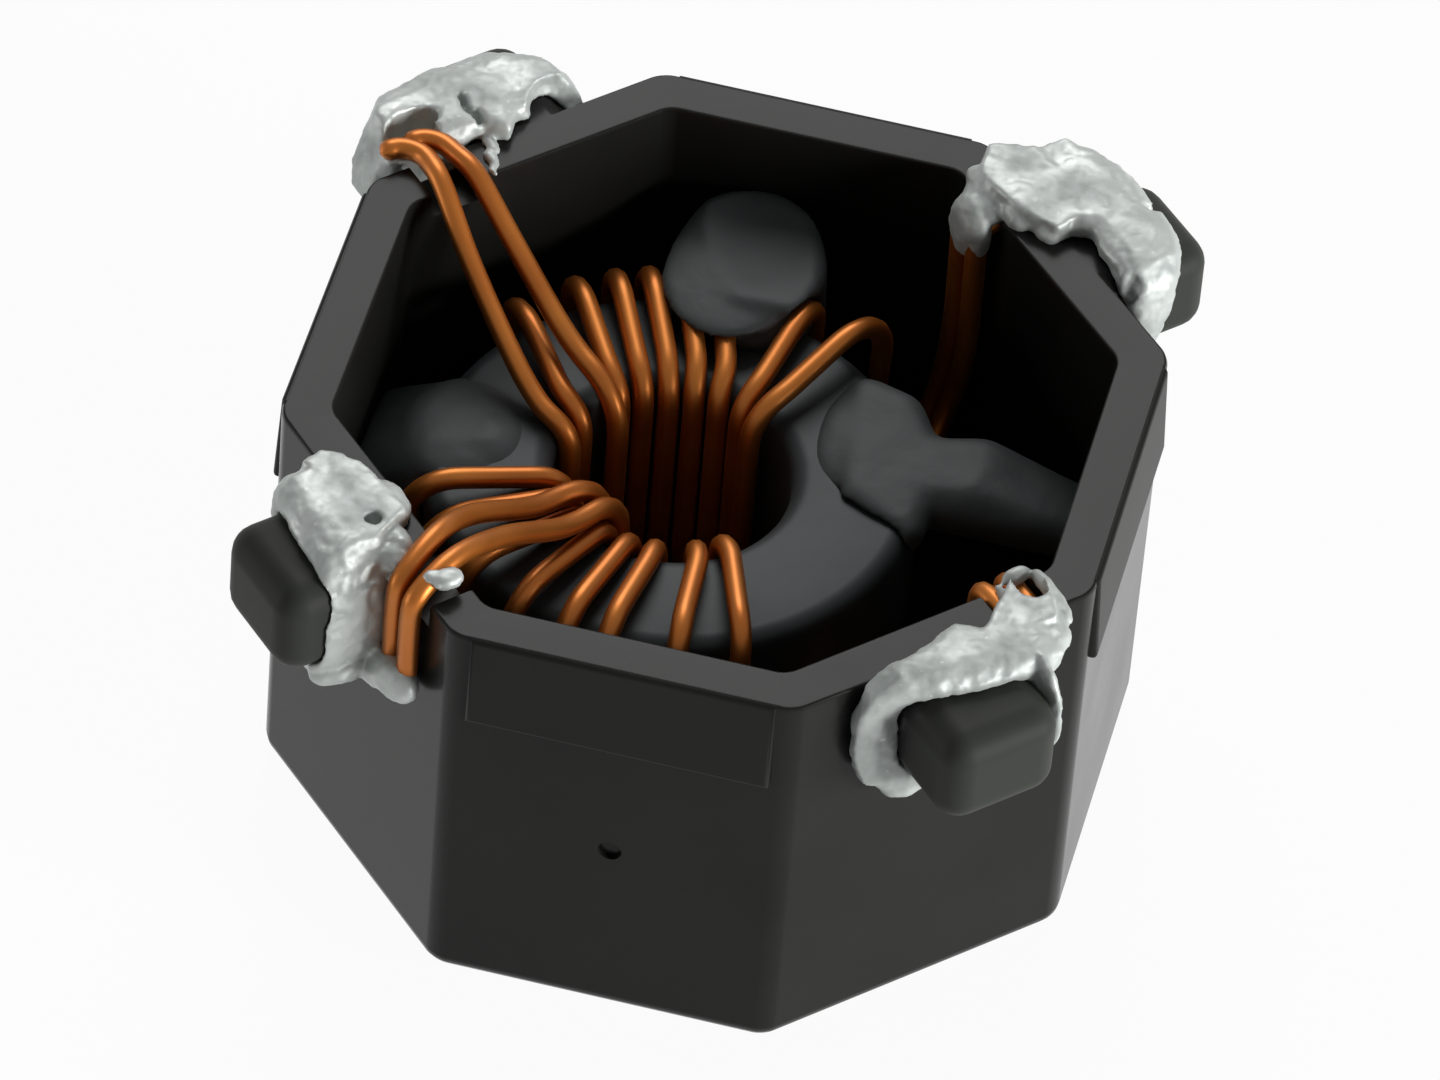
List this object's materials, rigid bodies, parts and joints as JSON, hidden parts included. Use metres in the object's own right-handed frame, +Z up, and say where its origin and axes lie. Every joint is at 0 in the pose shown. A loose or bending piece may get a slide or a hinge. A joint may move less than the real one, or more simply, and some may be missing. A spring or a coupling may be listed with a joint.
{
  "type": "surface-mount choke",
  "caption": "Octagonal moulded cup with a copper-wound toroid glued inside and its leads soldered round corner pegs; filters common-mode noise on a circuit board.",
  "frame": {"origin": "centre of the cup's closed face", "axes": "+Z up through the cup's open side, towards the board; +Y towards the back wall; +X to the right"},
  "size_m": [0.0093, 0.0091, 0.0055],
  "materials": {
    "housing_plastic": "moulded, fine matt",
    "core_coating": "coated ferrite, satin",
    "copper_wire": "enamelled copper, glossy",
    "solder": "dull hand-dipped solder",
    "adhesive": "cured adhesive, satin"
  },
  "bodies": {
    "root": {"housing": "housing_plastic", "core": "core_coating", "winding_a_wire_1": "copper_wire", "winding_a_wire_2": "copper_wire", "winding_b_wire_1": "copper_wire", "winding_b_wire_2": "copper_wire", "terminal_1": "solder", "terminal_2": "solder", "terminal_3": "solder", "terminal_4": "solder", "adhesive_back": "adhesive", "adhesive_left": "adhesive", "adhesive_right": "adhesive"}
  },
  "joints": []
}
